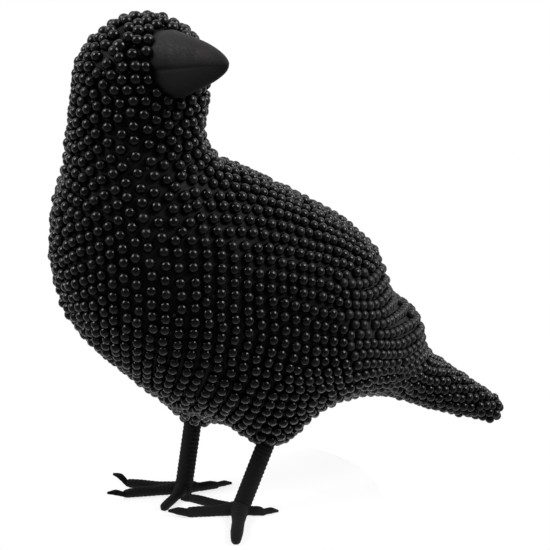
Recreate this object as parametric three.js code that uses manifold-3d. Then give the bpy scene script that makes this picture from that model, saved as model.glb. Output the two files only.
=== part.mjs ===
// A standing bird figure covered all over with glued beads, its head turned to its left.
// Millimetres, +Z up. The breast faces -Y, the tail +Y, and +X is the bird's left side.
// The origin is on the ground, under the middle of the whole figure.

import * as THREE from 'three';
import { mergeVertices } from 'three/addons/utils/BufferGeometryUtils.js';
import Module from 'manifold-3d';

const wasm = await Module();
wasm.setup();

// Driving dimensions

// Each stud stands for one 5 mm bead, a little wider apart than the beads are, to keep the facets few.
const STUD_ROW = 7.3;           // from one ring of bead studs to the next
const STUD_STEP = 7;            // from stud to stud along a ring
const STUD_RISE = 0.7;          // crown of a stud above the mean skin
const STUD_DIP = 1.6;           // gap between studs below the mean skin
const FIT_GAP = 0.3;            // clearance between two separate pieces

// The body is a row of oval sections. Each spans from a point on the front and under outline to a point
// on the nape and back outline, [y, z] in the middle plane, and is 2 * half wide.
const CROWN = [-32, 244.5];
const SECTIONS = [
  { front: [-61, 218.5], back: [-3, 224], half: 28.5 },     // eyes
  { front: [-64, 200], back: [-1, 206], half: 31 },         // throat
  { front: [-67, 180], back: [-3.5, 191], half: 33.5 },     // neck
  { front: [-72.5, 158], back: [4.5, 178], half: 40 },      // shoulders
  { front: [-75, 132], back: [22, 169], half: 47 },         // breast
  { front: [-67.5, 105], back: [45, 156], half: 52 },       // keel
  { front: [-47.5, 80.5], back: [68.5, 142], half: 54 },    // belly
  { front: [-18, 56.5], back: [87, 124.5], half: 53 },      // thighs
  { front: [23, 49.5], back: [95.5, 102.5], half: 48 },     // wing tips
  { front: [63, 48], back: [112, 88.5], half: 35 },         // rump
  { front: [97, 42], back: [120.5, 66.5], half: 21 },       // vent
  { front: [128.5, 27.5], back: [140, 50], half: 15 },      // tail root
  { front: [160, 16], back: [166.5, 30.5], half: 11 },      // tail
];
const TAIL_TIP = [170.5, 19];
const CROWN_ROUND = 1.7;        // 2 closes an end as a half ellipsoid, less makes it a little pointed
const TAIL_ROUND = 2;

// A soft round swelling on the underside hides the top of each leg. It is full below one height of the skin
// and fades out at another.
const THIGH = { reach: 13.5, drop: 19, fullBelow: 55, goneAbove: 95 };

// The head looks to the bird's left. Headings are degrees from -Y towards +X.
const FACE_HEADING = 110;
const HEAD_AXIS = [0, -32.5];   // x, y of the upright line through the head
const BEAK = { height: 223.7, fromAxis: 24.1, radius: 15.3, length: 33.9, pitch: 8, root: 8, droop: 1 };
const BEAK_WIDE = 0.8;          // width over height: the beak is narrower than it is high
const BEAK_FULL = 0.71;         // 1 makes the beak a plain cone, less gives it fuller sides
const BEAK_CREASE = { side: -4, depth: 0.05, width: 9 };   // mouth line: degrees below the side, share, degrees
const EYE = { diameter: 6.8, fromFace: 63, height: 232.9, sunk: 1.4 };

// Legs of wrapped wire. Toes: heading, reach of the thick part, claw length, claw turn, height of the claw's
// tip, and the radii at the root, the middle, the knuckle, the claw's start and the claw's middle.
const SHANK_RADIUS = 4.4;
const SHANK_IN_BODY = 9;
const ANKLE = { height: 2.4, radius: 5 };
const TOE_TIP_RADIUS = 0.6;
const TOE_SUNK = 0.85;          // height of a toe's middle line, as a share of its radius, so its sole is flat
const LEGS = [
  {
    side: 'left', foot: [17.2, 7.9], knee: [19, 22.2, 38], thigh: [20, 23.5],
    toes: [
      { heading: -55, reach: 28.8, claw: 5, turn: 33, tip: 1.4, radii: [2.8, 2.3, 2, 1.9, 1.6] },
      { heading: -19.5, reach: 24.7, claw: 10.6, turn: 0, tip: 3.6, radii: [3.9, 2.7, 2.6, 2, 1.9] },
      { heading: 61.8, reach: 30.5, claw: 3.8, turn: 1, tip: 2, radii: [4.6, 3.1, 2.5, 2.2, 1.8] },
      { heading: 147.6, reach: 11.2, claw: 8.2, turn: 28, tip: 0.6, radii: [4.4, 2.4, 1.9, 1.6, 1.6] },
    ],
  },
  {
    side: 'right', foot: [-17.2, -7.9], knee: [-18.8, -1.3, 37.9], thigh: [-19.5, -1],
    toes: [
      { heading: -39.3, reach: 28.9, claw: 8.6, turn: 3, tip: 6.4, radii: [3.2, 2.4, 2.2, 1.4, 1.6] },
      { heading: -15.5, reach: 29.2, claw: 9.7, turn: 12, tip: 4, radii: [3.7, 2.6, 2.1, 1.3, 1.5] },
      { heading: 41.8, reach: 21.8, claw: 3.2, turn: 3, tip: 2, radii: [4.2, 2.3, 2.2, 1.4, 1] },
      { heading: 171.5, reach: 17, claw: 9, turn: 12, tip: 0.6, radii: [4.2, 2.3, 1.9, 1.4, 1.5] },
    ],
  },
];

const FINE = 96;                // chords that measure the way around a section
const rad = THREE.MathUtils.degToRad;

// Solids: closed meshes from rings of points, and their cuts and joins

// Closes a list of rings, each a loop of points with its own count, into one body. Neighbouring rings are
// stitched by always taking the shorter next edge, and the two ends are closed on their middle points.
// A point with `dip` set is a gap between studs: an edge that joins two gaps is taken first, so that every
// stud keeps its own four facets.
function stitched(rings, startTip, endTip) {
  const points = [startTip, ...rings.flat(), endTip];
  const last = points.length - 1;
  const faces = [];
  const starts = [];
  rings.reduce((n, ring) => { starts.push(n); return n + ring.length; }, 1);
  const edge = (a, b) => {
    const [p, q] = [points[a], points[b]];
    const bonus = p.dip && q.dip ? 0.5 : 1;
    return p.distanceTo(q) * bonus;
  };
  rings[0].forEach((_, k) => faces.push([0, starts[0] + k, starts[0] + (k + 1) % rings[0].length]));
  for (let r = 0; r + 1 < rings.length; r++) {
    const [nA, nB] = [rings[r].length, rings[r + 1].length];
    const a = k => starts[r] + k % nA;
    const b = k => starts[r + 1] + k % nB;
    let [i, j] = [0, 0];
    while (i < nA || j < nB) {
      const lead = (i + 1) / nA - (j + 1) / nB;
      const stepA = j >= nB || (i < nA && (lead < -0.9 / nA || (lead < 0.9 / nB
        && edge(a(i + 1), b(j)) <= edge(a(i), b(j + 1)))));
      if (stepA) faces.push([a(i), b(j), a(++i)]);
      else faces.push([a(i), b(j), b(++j)]);
    }
  }
  const [end, n] = [starts.at(-1), rings.at(-1).length];
  for (let k = 0; k < n; k++) faces.push([last, end + (k + 1) % n, end + k]);
  const geometry = new THREE.BufferGeometry();
  geometry.setAttribute('position', new THREE.Float32BufferAttribute(points.flatMap(p => [p.x, p.y, p.z]), 3));
  geometry.setIndex(faces.flat());
  return geometry;
}

function solid(geometry) {
  const bare = geometry.clone();
  bare.deleteAttribute('normal');
  bare.deleteAttribute('uv');
  const merged = mergeVertices(bare, 1e-4);
  return new wasm.Manifold(new wasm.Mesh({
    numProp: 3,
    vertProperties: Float32Array.from(merged.attributes.position.array),
    triVerts: Uint32Array.from(merged.index.array),
  }));
}

function geometryOf(manifold) {
  const { vertProperties, triVerts } = manifold.getMesh();
  const geometry = new THREE.BufferGeometry();
  geometry.setAttribute('position', new THREE.BufferAttribute(vertProperties, 3));
  geometry.setIndex(new THREE.BufferAttribute(triVerts, 1));
  return geometry;
}

// The body's skin as a function of two numbers

// Uniform Catmull-Rom spline through a column of numbers; both ends run on straight.
function spline(values, t) {
  const n = values.length;
  const at = k => {
    if (k < 0) return 2 * values[0] - values[1];
    if (k >= n) return 2 * values[n - 1] - values[n - 2];
    return values[k];
  };
  const i = THREE.MathUtils.clamp(Math.floor(t), 0, n - 2);
  const s = t - i;
  const [a, b, c, d] = [at(i - 1), at(i), at(i + 1), at(i + 2)];
  return 0.5 * (2 * b + (c - a) * s + (2 * a - 5 * b + 4 * c - d) * s * s + (3 * b - a - 3 * c + d) * s ** 3);
}

const column = pick => SECTIONS.map(pick);
const frontY = column(s => s.front[0]);
const frontZ = column(s => s.front[1]);
const backY = column(s => s.back[0]);
const backZ = column(s => s.back[1]);
const halves = column(s => s.half);
const LAST = SECTIONS.length - 1;

// One oval at t: 0 is the eyes, LAST the tail, -1 the crown and LAST + 1 the tail's tip. Between an end
// section and its tip the oval closes as a dome.
function oval(t) {
  const u = THREE.MathUtils.clamp(t, 0, LAST);
  const front = [spline(frontY, u), spline(frontZ, u)];
  const back = [spline(backY, u), spline(backZ, u)];
  const centre = [(front[0] + back[0]) / 2, (front[1] + back[1]) / 2];
  const chord = [(front[0] - back[0]) / 2, (front[1] - back[1]) / 2];
  let half = spline(halves, u);
  if (t !== u) {
    const out = Math.abs(t - u);
    const tip = t < 0 ? CROWN : TAIL_TIP;
    const power = t < 0 ? CROWN_ROUND : TAIL_ROUND;
    const rise = Math.sin(out * Math.PI / 2);
    const open = Math.max(0, 1 - rise ** power) ** (1 / power);
    centre.forEach((c, k) => { centre[k] = c + (tip[k] - c) * rise; });
    chord.forEach((c, k) => { chord[k] = c * open; });
    half *= open;
  }
  return { centre, chord, half };
}

// The point of the skin on the oval at t, at angle a: 0 in front, a quarter turn on the bird's left,
// half a turn on the back. Over each leg the underside swells down in a soft round bump.
function skin(t, a) {
  const { centre, chord, half } = oval(t);
  const p = new THREE.Vector3(
    half * Math.sin(a),
    centre[0] + chord[0] * Math.cos(a),
    centre[1] + chord[1] * Math.cos(a),
  );
  const low = THREE.MathUtils.clamp((THIGH.goneAbove - p.z) / (THIGH.goneAbove - THIGH.fullBelow), 0, 1);
  const swell = LEGS.reduce((sum, { thigh: [x, y] }) => {
    const away = Math.hypot(p.x - x, p.y - y) / THIGH.reach;
    return sum + Math.exp(-away * away / 2);
  }, 0);
  p.z -= THIGH.drop * swell * low;
  return p;
}

function skinNormal(t, a) {
  const e = 0.01;
  const along = skin(t + e, a).sub(skin(t - e, a));
  const around = skin(t, a + e).sub(skin(t, a - e));
  return along.cross(around).normalize();
}

// Rings of studs: each bead is a low four-sided point, staggered from ring to ring, with a dip between
// neighbours. The angles are spread so that the studs of a ring are evenly spaced.
function studRing(t, odd) {
  const fine = Array.from({ length: FINE + 1 }, (_, k) => skin(t, k / FINE * 2 * Math.PI));
  const run = [0];
  for (let k = 1; k < fine.length; k++) run.push(run[k - 1] + fine[k].distanceTo(fine[k - 1]));
  const around = run.at(-1);
  const count = Math.max(4, Math.round(around / STUD_STEP)) * 2;
  const ring = [];
  let k = 0;
  for (let i = 0; i < count; i++) {
    const target = around * i / count;
    while (run[k + 1] < target) k++;
    const a = (k + (target - run[k]) / (run[k + 1] - run[k])) / FINE * 2 * Math.PI;
    const dip = i % 2 !== odd;
    const p = skin(t, a).addScaledVector(skinNormal(t, a), dip ? -STUD_DIP : STUD_RISE);
    p.dip = dip;
    ring.push(p);
  }
  return ring;
}

// Ring places from crown to tail, evenly spaced along the bird's side.
function ringPlaces() {
  const [from, to, steps] = [-0.999, LAST + 0.999, 1400];
  const walk = Array.from({ length: steps + 1 }, (_, k) => from + (to - from) * k / steps);
  const length = [0];
  for (let k = 1; k <= steps; k++) {
    const step = [0, 0.5, 1, 1.5].reduce((sum, q) => sum
      + skin(walk[k], q * Math.PI).distanceTo(skin(walk[k - 1], q * Math.PI)), 0) / 4;
    length.push(length[k - 1] + step);
  }
  const rows = Math.round(length.at(-1) / STUD_ROW);
  const places = [];
  let k = 0;
  for (let i = 1; i < rows; i++) {
    const target = length.at(-1) * i / rows;
    while (length[k + 1] < target) k++;
    places.push(walk[k]);
  }
  return places;
}

function beadedBody() {
  const rings = ringPlaces().map((t, i) => studRing(t, i % 2));
  return solid(stitched(rings, skin(-1, 0), skin(LAST + 1, 0)));
}

// The head's own directions

const face = new THREE.Vector3(Math.sin(rad(FACE_HEADING)), -Math.cos(rad(FACE_HEADING)), 0);

// Beak: a stout oval cone with full sides, a blunt tip that droops a little, and a shallow mouth line.
function beakGeometry(grow) {
  const axis = face.clone().multiplyScalar(Math.cos(rad(BEAK.pitch)));
  axis.z = Math.sin(rad(BEAK.pitch));
  const side = new THREE.Vector3(0, 0, 1).cross(axis).normalize();
  const up = axis.clone().cross(side);
  const base = new THREE.Vector3(...HEAD_AXIS, BEAK.height).addScaledVector(face, BEAK.fromAxis);
  const rings = [];
  const steps = 8;
  const around = 20;
  for (let i = -1; i < steps; i++) {
    const u = Math.max(i, 0) / steps;
    const along = i < 0 ? -BEAK.root - grow : BEAK.length * (1 - (1 - u) ** 1.25);
    const size = BEAK.radius * (1 - u) ** BEAK_FULL;
    const centre = base.clone().addScaledVector(axis, along).addScaledVector(up, -BEAK.droop * u * u);
    rings.push(Array.from({ length: around }, (_, k) => {
      const a = k / around * 2 * Math.PI;
      const fromMouth = [BEAK_CREASE.side, 180 - BEAK_CREASE.side]
        .map(m => Math.abs(THREE.MathUtils.euclideanModulo(a * 180 / Math.PI - m + 180, 360) - 180));
      const crease = i < 0 ? 0 : BEAK_CREASE.depth * Math.exp(-((Math.min(...fromMouth) / BEAK_CREASE.width) ** 2));
      const r = size * (1 - crease);
      return centre.clone().addScaledVector(side, (r * BEAK_WIDE + grow) * Math.cos(a))
        .addScaledVector(up, (r + grow) * Math.sin(a));
    }));
  }
  const root = base.clone().addScaledVector(axis, -BEAK.root - grow);
  const tip = base.clone().addScaledVector(axis, BEAK.length + grow).addScaledVector(up, -BEAK.droop);
  return stitched(rings.map(ring => ring.reverse()), root, tip);
}

// Eye: one larger bead, sunk a little into the side of the head. Its place is found by halving the way
// between the crown and the first section until the skin there is at the eye's height.
function eyePlace(side) {
  const heading = rad(FACE_HEADING + side * EYE.fromFace);
  const angle = t => {
    const { chord, half } = oval(t);
    return Math.atan2(Math.sin(heading) * Math.hypot(...chord), Math.cos(heading) * half);
  };
  let [above, below] = [-1, 0];
  for (let i = 0; i < 40; i++) {
    const t = (above + below) / 2;
    if (skin(t, angle(t)).z > EYE.height) above = t;
    else below = t;
  }
  return skin(above, angle(above)).addScaledVector(skinNormal(above, angle(above)), -EYE.sunk);
}

function eyeGeometry(side, grow) {
  const ball = new THREE.SphereGeometry(EYE.diameter / 2 + grow, 12, 8);
  return ball.translate(...eyePlace(side).toArray());
}

// Legs

function tube(places, radii, sides, heading) {
  const side = new THREE.Vector3(Math.cos(heading), Math.sin(heading), 0);
  const rings = places.map((p, i) => {
    const ahead = places[Math.min(i + 1, places.length - 1)].clone().sub(places[Math.max(i - 1, 0)]).normalize();
    const up = side.clone().cross(ahead).normalize();
    return Array.from({ length: sides }, (_, k) => {
      const a = k / sides * 2 * Math.PI;
      return p.clone().addScaledVector(side, radii[i] * Math.cos(a)).addScaledVector(up, radii[i] * Math.sin(a));
    });
  });
  return stitched(rings, places[0], places.at(-1));
}

function shank(leg, grow) {
  const foot = new THREE.Vector3(...leg.foot, ANKLE.height);
  const knee = new THREE.Vector3(...leg.knee);
  const up = knee.clone().sub(foot).normalize();
  const top = knee.clone().addScaledVector(up, SHANK_IN_BODY + grow);
  const places = [foot, foot.clone().lerp(knee, 0.5), knee, top];
  return tube(places, places.map(() => SHANK_RADIUS + grow), 12, 0);
}

function toe(leg, { heading, reach, claw, turn, tip, radii }) {
  const out = h => new THREE.Vector3(Math.sin(rad(h)), -Math.cos(rad(h)), 0);
  const foot = new THREE.Vector3(...leg.foot, 0);
  const [root, middle, knuckle, start, bent] = radii;
  const along = (share, radius) => foot.clone().addScaledVector(out(heading), reach * share).setZ(radius * TOE_SUNK);
  const end = along(1, knuckle);
  const hooked = (d, z) => end.clone().addScaledVector(out(heading + turn), d).setZ(z);
  const places = [
    along(0, root), along(0.45, middle), along(0.8, middle), end, hooked(1.4, end.z),
    hooked(claw * 0.55, Math.max(THREE.MathUtils.lerp(end.z, tip, 0.75), bent)), hooked(claw, tip),
  ];
  return tube(places, [root, middle, middle, knuckle, start, bent, TOE_TIP_RADIUS], 8, rad(heading));
}

function legGeometry(leg) {
  const ankle = new THREE.SphereGeometry(ANKLE.radius, 12, 6).translate(...leg.foot, ANKLE.height);
  const parts = [shank(leg, 0), ankle, ...leg.toes.map(t => toe(leg, t))].map(solid);
  const ground = new THREE.BoxGeometry(200, 200, 20).translate(0, 0, -10);
  return geometryOf(parts.reduce((all, part) => all.add(part)).subtract(solid(ground)));
}

// Finishes and the figure

const blackBead = new THREE.MeshStandardMaterial({ color: '#121213', roughness: 0.18, metalness: 0 });
const blackEye = new THREE.MeshStandardMaterial({ color: '#0b0b0c', roughness: 0.08, metalness: 0 });
const mattBeak = new THREE.MeshStandardMaterial({ color: '#1c1c1d', roughness: 0.6, metalness: 0 });
const wrapTape = new THREE.MeshStandardMaterial({ color: '#17171a', roughness: 0.75, metalness: 0 });

const bird = new THREE.Group();

function place(name, geometry, material) {
  const mesh = new THREE.Mesh(geometry, material);
  mesh.name = name;
  bird.add(mesh);
}

const sockets = [
  beakGeometry(FIT_GAP),
  eyeGeometry(1, FIT_GAP),
  eyeGeometry(-1, FIT_GAP),
  ...LEGS.map(leg => shank(leg, FIT_GAP)),
].map(solid);
const body = sockets.reduce((all, socket) => all.subtract(socket), beadedBody());

place('body', geometryOf(body), blackBead);
place('beak', beakGeometry(0), mattBeak);
place('eye_left', eyeGeometry(1, 0), blackEye);
place('eye_right', eyeGeometry(-1, 0), blackEye);
LEGS.forEach(leg => place(`leg_${leg.side}`, legGeometry(leg), wrapTape));

// The figure is moved so that the origin lies on the ground under the middle of its box.
const box = new THREE.Box3().setFromObject(bird);
const middle = box.getCenter(new THREE.Vector3());
bird.position.set(-middle.x, -middle.y, -box.min.z);

export default bird;
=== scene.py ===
# %% [markdown]
# # A bird covered in black beads
# This lesson dresses a plain solid model of a standing bird. The real thing is a core shaped like a bird,
# covered from crown to tail tip with round black beads set in dark glue, with a matt painted beak, two
# polished eye beads and feet of wound wire. The solid comes first and stays fixed: it says where every
# surface is. All lengths below are in millimetres until the last moment, when a mesh is written in metres.

# %% Load the frame
import math

import bpy
import numpy as np
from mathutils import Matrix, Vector


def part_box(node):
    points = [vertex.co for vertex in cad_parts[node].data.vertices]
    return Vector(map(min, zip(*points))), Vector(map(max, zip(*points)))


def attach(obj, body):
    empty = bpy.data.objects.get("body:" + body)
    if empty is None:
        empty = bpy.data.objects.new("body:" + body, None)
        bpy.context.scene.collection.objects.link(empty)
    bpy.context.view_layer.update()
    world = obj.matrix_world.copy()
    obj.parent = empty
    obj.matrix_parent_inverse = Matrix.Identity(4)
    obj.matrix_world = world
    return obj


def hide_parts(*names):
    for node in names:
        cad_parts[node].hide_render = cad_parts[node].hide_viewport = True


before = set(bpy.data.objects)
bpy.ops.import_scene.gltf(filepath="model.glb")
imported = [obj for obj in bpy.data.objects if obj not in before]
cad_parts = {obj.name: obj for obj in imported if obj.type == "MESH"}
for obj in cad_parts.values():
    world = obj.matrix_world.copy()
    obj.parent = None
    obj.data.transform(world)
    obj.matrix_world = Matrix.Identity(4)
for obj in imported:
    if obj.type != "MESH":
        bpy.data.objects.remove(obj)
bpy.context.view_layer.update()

MM = 0.001
chance = np.random.default_rng(11)

# %% [markdown]
# ## The skin as a function of two numbers
# The body is a row of oval sections, from the eyes down the breast and out along the tail. Each oval spans
# from a point on the front outline to a point on the back outline, and has a half width. A smooth curve
# through the same column of every oval gives an oval at any place t, and an angle a picks a point on it.
# The same formulas drew the solid, so whatever is laid on this skin lies on the solid too.

# %% Sections of the body
# front y, front z, back y, back z, half width; the breast faces -Y and the bird's left is +X
SECTIONS = np.array([
    [-61, 218.5, -3, 224, 28.5],       # eyes
    [-64, 200, -1, 206, 31],           # throat
    [-67, 180, -3.5, 191, 33.5],       # neck
    [-72.5, 158, 4.5, 178, 40],        # shoulders
    [-75, 132, 22, 169, 47],           # breast
    [-67.5, 105, 45, 156, 52],         # keel
    [-47.5, 80.5, 68.5, 142, 54],      # belly
    [-18, 56.5, 87, 124.5, 53],        # thighs
    [23, 49.5, 95.5, 102.5, 48],       # wing tips
    [63, 48, 112, 88.5, 35],           # rump
    [97, 42, 120.5, 66.5, 21],         # vent
    [128.5, 27.5, 140, 50, 15],        # tail root
    [160, 16, 166.5, 30.5, 11],        # tail
])
LAST = len(SECTIONS) - 1
CROWN, TAIL_TIP = np.array([-32, 244.5]), np.array([170.5, 19])
CROWN_ROUND, TAIL_ROUND = 1.7, 2.0
THIGHS = np.array([[20, 23.5], [-19.5, -1]])
THIGH_REACH, THIGH_DROP, THIGH_FULL, THIGH_GONE = 13.5, 19, 55, 95

# %% The skin's formulas


def through(column, t):
    """A smooth curve through the numbers of a column: a uniform Catmull-Rom spline that runs on straight."""
    run = np.concatenate([[2 * column[0] - column[1]], column, [2 * column[-1] - column[-2]]])
    i = np.clip(np.floor(t).astype(int), 0, len(column) - 2)
    s = t - i
    a, b, c, d = run[i], run[i + 1], run[i + 2], run[i + 3]
    return 0.5 * (2 * b + (c - a) * s + (2 * a - 5 * b + 4 * c - d) * s**2 + (3 * b - a - 3 * c + d) * s**3)


def skin(t, a):
    """Point on the skin. The oval at t has its centre halfway between front and back point, and the point is
    the centre, plus cos a times half the front-back chord, plus sin a times the half width to the side.
    Before the first oval and past the last one the oval closes as a dome. Two soft bumps under the belly
    swell down over the legs."""
    t, a = np.broadcast_arrays(np.asarray(t, float), np.asarray(a, float))
    u = np.clip(t, 0, LAST)
    front_y, front_z, back_y, back_z, half = (through(SECTIONS[:, k], u) for k in range(5))
    power = np.where(t < 0, CROWN_ROUND, TAIL_ROUND)
    rise = np.sin(np.abs(t - u) * np.pi / 2)
    spread = np.clip(1 - rise**power, 0, 1) ** (1 / power)
    tip = np.where((t < 0)[..., None], CROWN, TAIL_TIP)
    centre_y = (front_y + back_y) / 2 * (1 - rise) + tip[..., 0] * rise
    centre_z = (front_z + back_z) / 2 * (1 - rise) + tip[..., 1] * rise
    x = half * spread * np.sin(a)
    y = centre_y + (front_y - back_y) / 2 * spread * np.cos(a)
    z = centre_z + (front_z - back_z) / 2 * spread * np.cos(a)
    low = np.clip((THIGH_GONE - z) / (THIGH_GONE - THIGH_FULL), 0, 1)
    away = (x[..., None] - THIGHS[:, 0]) ** 2 + (y[..., None] - THIGHS[:, 1]) ** 2
    swell = np.exp(-away / THIGH_REACH**2 / 2).sum(-1)
    return np.stack([x, y, z - THIGH_DROP * low * swell], -1)


# %% Directions on the skin


def unit(v):
    """A vector or many, each divided by its own length."""
    return v / np.linalg.norm(v, axis=-1, keepdims=True)


def outward(t, a, e=0.01):
    """Outward direction of the skin: a small step down the body crossed with a small step around it."""
    return unit(np.cross(skin(t + e, a) - skin(t - e, a), skin(t, a + e) - skin(t, a - e)))


print("breast point:", skin(4, 0).round(1), "looks along", outward(4.0, 0.0).round(2))

# %% [markdown]
# ## Finding the solid's own place
# The solid was moved so that its origin lies on the ground under the middle of its box. The eye tells by how
# much: its place on the skin follows from a heading and a height, and the solid's eye says where that ended
# up. The difference is added to every mesh.

# %% Where the eyes and the frame are
FACE_HEADING = 110                     # degrees from -Y towards +X: the head looks over the left shoulder
HEAD_AXIS = np.array([0, -32.5])
EYE_RADIUS, EYE_FROM_FACE, EYE_HEIGHT, EYE_SUNK = 3.4, 63, 232.9, 1.4


def eye_place(side):
    """Halves the way between crown and first oval until the skin at the eye's heading has the eye's height."""
    heading = math.radians(FACE_HEADING + side * EYE_FROM_FACE)
    chord = np.hypot(SECTIONS[0, 0] - SECTIONS[0, 2], SECTIONS[0, 1] - SECTIONS[0, 3]) / 2
    angle = math.atan2(math.sin(heading) * chord, math.cos(heading) * SECTIONS[0, 4])
    above, below = -1.0, 0.0
    for _ in range(40):
        t = (above + below) / 2
        above, below = (t, below) if skin(t, angle)[2] > EYE_HEIGHT else (above, t)
    return skin(above, angle) - outward(above, angle) * EYE_SUNK


EYES = {"left": eye_place(1), "right": eye_place(-1)}
SHIFT = np.mean([np.mean(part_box(f"eye_{side}"), axis=0) / MM - EYES[side] for side in EYES], axis=0)
print("the solid was moved by", SHIFT.round(2), "mm")

# %% [markdown]
# ## Meshes from arrays
# Every piece is a list of points and a list of faces, worked out as whole arrays. One helper writes them into
# a mesh, turns the faces outwards, and ties the new object to the solid: it rides on the body and stands for
# the solid's node.

# %% Helpers that write a piece


def looks_inwards(points, sheets):
    """True if the faces of a closed body look inwards: then the volumes between the origin and each of its
    triangles, summed with their signs, come out negative."""
    volume = 0
    for faces in sheets:
        for k in range(1, faces.shape[1] - 1):
            volume += (points[faces[:, 0]] * np.cross(points[faces[:, k]], points[faces[:, k + 1]])).sum()
    return volume < 0


def closed_rings(rings, start, end):
    """A body from a stack of rings, an array of rings x around x 3: quads join ring to ring, and a fan of
    triangles closes each end on its tip."""
    count, around = rings.shape[:2]
    points = np.concatenate([rings.reshape(-1, 3), [start], [end]])
    k = np.arange(around)
    nxt = (k + 1) % around
    rows = np.arange(count - 1)[:, None] * around
    quads = np.stack([rows + k, rows + nxt, rows + around + nxt, rows + around + k], -1).reshape(-1, 4)
    last = (count - 1) * around
    fans = np.concatenate([
        np.stack([np.full(around, count * around), nxt, k], -1),
        np.stack([np.full(around, count * around + 1), last + k, last + nxt], -1),
    ])
    return points, quads, fans


def new_object(name, data):
    """An object in the scene that carries a mesh, a lamp or a camera."""
    thing = bpy.data.objects.new(name, data)
    bpy.context.scene.collection.objects.link(thing)
    return thing


def add_piece(name, parts, material, slot, *nodes, tone=None, normals=None):
    """Joins parts, each points with one or more arrays of faces, into one smooth mesh object in metres."""
    points, faces, start = [], [], 0
    for body, *sheets in parts:
        turned = looks_inwards(body, sheets)
        faces += [f for s in sheets for f in ((s[:, ::-1] if turned else s) + start).tolist()]
        points.append(body)
        start += len(body)
    points = (np.concatenate(points) + SHIFT) * MM
    mesh = bpy.data.meshes.new(name)
    mesh.from_pydata(points.tolist(), [], faces)
    mesh.polygons.foreach_set("use_smooth", np.ones(len(faces), bool))
    if tone is not None:
        mesh.attributes.new("tone", "FLOAT", "POINT").data.foreach_set("value", tone.astype(np.float32))
    mesh.materials.append(material)
    mesh.update()
    if normals is not None:
        mesh.normals_split_custom_set_from_vertices(normals.tolist())
    piece = new_object(name, mesh)
    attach(piece, "root")
    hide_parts(*nodes)
    print(f"{name}: {len(points)} points, {sum(len(f) - 2 for f in faces)} triangles")
    return piece


# %% [markdown]
# ## Colours and nodes
# Colours are written as they look on a screen, in hex, and one function turns them into the linear numbers
# that Blender mixes light with. One more function adds a node: its settings, its plain socket values, and
# the links that feed it. Every material starts from the same shader, which is fed last.

# %% Helpers that build a material


def linear(hex_colour):
    """Screen colour to light: below 0.04 a straight line, above it a power of 2.4."""
    c = np.array([int(hex_colour[k:k + 2], 16) for k in (1, 3, 5)]) / 255
    c = np.where(c <= 0.04045, c / 12.92, ((c + 0.055) / 1.055) ** 2.4)
    return (*c.tolist(), 1.0)


def feed(tree, node, links={}, values={}):
    """Sets plain values on a node's sockets and connects what feeds the others: a socket, or a node that
    stands for the first output it has in use."""
    for key, value in values.items():
        node.inputs[key].default_value = value
    for key, source in links.items():
        if isinstance(source, bpy.types.Node):
            source = next(socket for socket in source.outputs if socket.enabled)
        tree.links.new(source, node.inputs[key])
    return node


def add(tree, kind, links={}, values={}, ramp=(), **settings):
    """Adds one node to a tree, sets it up and feeds it. A colour ramp is given as places and hex colours."""
    node = tree.nodes.new(kind)
    for key, value in settings.items():
        setattr(node, key, value)
    for k, (place, colour) in enumerate(ramp):
        stop = node.color_ramp.elements[k] if k < 2 else node.color_ramp.elements.new(place)
        stop.position = place
        stop.color = linear(colour)
    return feed(tree, node, links, values)


def new_material(name):
    """A node material, its shader joined to its output, and the point on the object for its patterns."""
    material = bpy.data.materials.new(name)
    material.use_nodes = True
    tree = material.node_tree
    tree.nodes.clear()
    shader = add(tree, "ShaderNodeBsdfPrincipled")
    add(tree, "ShaderNodeOutputMaterial", {"Surface": shader})
    return material, tree, shader, add(tree, "ShaderNodeTexCoord").outputs["Object"]


# %% [markdown]
# ## Moulded acrylic beads
# The beads are black acrylic, moulded and tumbled until they shine. Each one mirrors the two lamps as two
# soft dots, and the light room below as a grey crescent along its foot. What makes a heap of them look real
# is that no two shine alike: each bead carries a random number from 0 to 1, called tone, which makes some a
# little paler and some a little duller, where glue has dried on them. On the rump the tone is raised by one,
# which gives paler satin beads.

# %% Acrylic bead material


def moulded_acrylic_bead():
    """Tumbled black acrylic: sharp highlights, a trace of glue haze, a bead here and there a little paler."""
    material, tree, shader, where = new_material("moulded_acrylic_bead")
    tone = add(tree, "ShaderNodeAttribute", attribute_name="tone").outputs["Fac"]
    colour = add(tree, "ShaderNodeValToRGB", {"Fac": tone},
                 ramp=[(0, "#080809"), (1, "#141213"), (0.75, "#0c0c0d")])
    # dried glue lies in patches about 8 mm across
    haze = add(tree, "ShaderNodeTexNoise", {"Vector": where}, {"Scale": 120.0, "Detail": 3.0})
    mixed = add(tree, "ShaderNodeMath", {0: haze, 1: tone}, operation="ADD")
    rough = add(tree, "ShaderNodeMapRange", {"Value": mixed},
                {"From Min": 0.7, "From Max": 2.5, "To Min": 0.15, "To Max": 0.46})
    # fine scuffs, drawn 0.5 mm apart, keep the dots from being perfect
    scuff = add(tree, "ShaderNodeTexNoise", {"Vector": where}, {"Scale": 1800.0, "Detail": 2.0})
    bump = add(tree, "ShaderNodeBump", {"Height": scuff}, {"Strength": 0.05, "Distance": 0.0002})
    feed(tree, shader, {"Base Color": colour, "Roughness": rough, "Normal": bump}, {"IOR": 1.49})
    return material


ACRYLIC = moulded_acrylic_bead()

# %% [markdown]
# ## Dark craft glue
# Between the beads the core shows as a near black film of dried glue: uneven, mostly dull, with wet-looking
# spots, and a little paler on the rump. Small blobs of the same glue sit in some of the gaps and catch
# a grey glint.

# %% Craft glue material


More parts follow.
